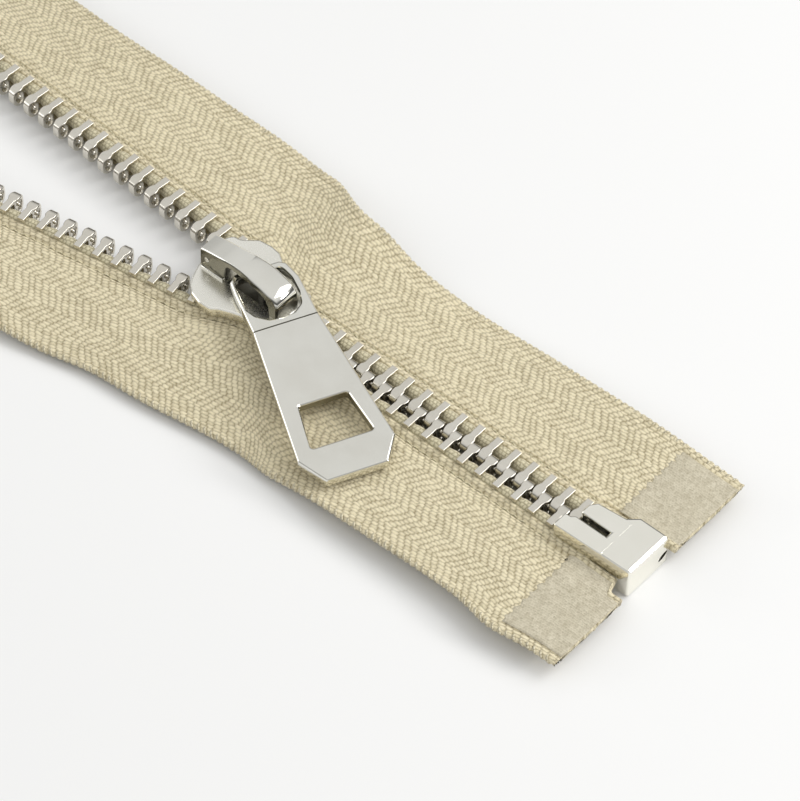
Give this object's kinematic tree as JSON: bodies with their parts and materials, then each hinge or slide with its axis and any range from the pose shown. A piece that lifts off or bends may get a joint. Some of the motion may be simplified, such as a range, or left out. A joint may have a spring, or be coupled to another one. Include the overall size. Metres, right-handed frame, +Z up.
{
  "type": "separating zipper",
  "caption": "Half-open metal separating zipper: two woven tapes with teeth, retainer box and pins, self-locking slider and a pull tab with a window.",
  "frame": {"origin": "middle of the retainer box's underside, under the chain's middle line", "axes": "+X along the chain towards the top stops, +Y towards the left half, +Z up"},
  "size_m": [0.1955, 0.0657, 0.008],
  "materials": {
    "tape_fabric": "beige herringbone twill tape, matt",
    "cord_yarn": "beige braided cord, matt",
    "film_plastic": "clear reinforcing film, satin",
    "tooth_metal": "nickel silver, polished",
    "plated_metal": "bright nickel plate",
    "spring_steel": "spring steel, bare"
  },
  "bodies": {
    "closed_chain": {"retainer_box": "plated_metal", "fixed_pin": "plated_metal", "insertion_pin": "plated_metal", "tape_left_lower": "tape_fabric", "cord_left_lower": "cord_yarn", "teeth_left_lower": "tooth_metal", "film_left_top": "film_plastic", "film_left_bottom": "film_plastic", "tape_right_lower": "tape_fabric", "cord_right_lower": "cord_yarn", "teeth_right_lower": "tooth_metal", "film_right_top": "film_plastic", "film_right_bottom": "film_plastic"},
    "slider": {"slider_body": "plated_metal", "slider_crown": "plated_metal", "lock_spring": "spring_steel"},
    "pull_tab": {"pull_tab": "plated_metal"},
    "lock": {"locking_pin": "spring_steel"},
    "left_arm": {"tape_left_upper": "tape_fabric", "cord_left_upper": "cord_yarn", "teeth_left_upper": "tooth_metal", "guide_teeth_left": "tooth_metal", "top_stop_left": "plated_metal"},
    "right_arm": {"tape_right_upper": "tape_fabric", "cord_right_upper": "cord_yarn", "teeth_right_upper": "tooth_metal", "guide_teeth_right": "tooth_metal", "top_stop_right": "plated_metal"}
  },
  "joints": [
    {"name": "slider_travel", "type": "slide", "parent": "closed_chain", "child": "slider", "axis": [1, 0, 0], "range_m": [-0.0255, 0.112], "deforming": ["tape_left_lower", "tape_left_upper", "cord_left_lower", "cord_left_upper", "teeth_left_lower", "teeth_left_upper", "guide_teeth_left", "tape_right_lower", "tape_right_upper", "cord_right_lower", "cord_right_upper", "teeth_right_lower", "teeth_right_upper", "guide_teeth_right"]},
    {"name": "left_arm_swing", "type": "hinge", "parent": "closed_chain", "child": "left_arm", "pos_m": [0.04218, 0, 0.0022], "axis": [0, 0, 1], "range_deg": [-9.55, 2.21]},
    {"name": "right_arm_swing", "type": "hinge", "parent": "closed_chain", "child": "right_arm", "pos_m": [-0.00144, 0, 0.0022], "axis": [0, 0, 1], "range_deg": [-0.68, 2.8]},
    {"name": "pull_tab_swing", "type": "hinge", "parent": "slider", "child": "pull_tab", "pos_m": [0.05485, 0, 0.0057], "axis": [0, 1, 0], "range_deg": [0, 170]},
    {"name": "locking_pin_lift", "type": "slide", "parent": "slider", "child": "lock", "axis": [0, 0, 1], "range_m": [0, 0.00076], "deforming": ["lock_spring"]}
  ],
  "couplings": [
    {"joint": "left_arm_swing", "follows": "slider_travel", "rad_per_m": -1.4804},
    {"joint": "right_arm_swing", "follows": "slider_travel", "rad_per_m": 0.42854},
    {"joint": "locking_pin_lift", "follows": "pull_tab_swing", "m_per_rad": 0.00025278}
  ]
}
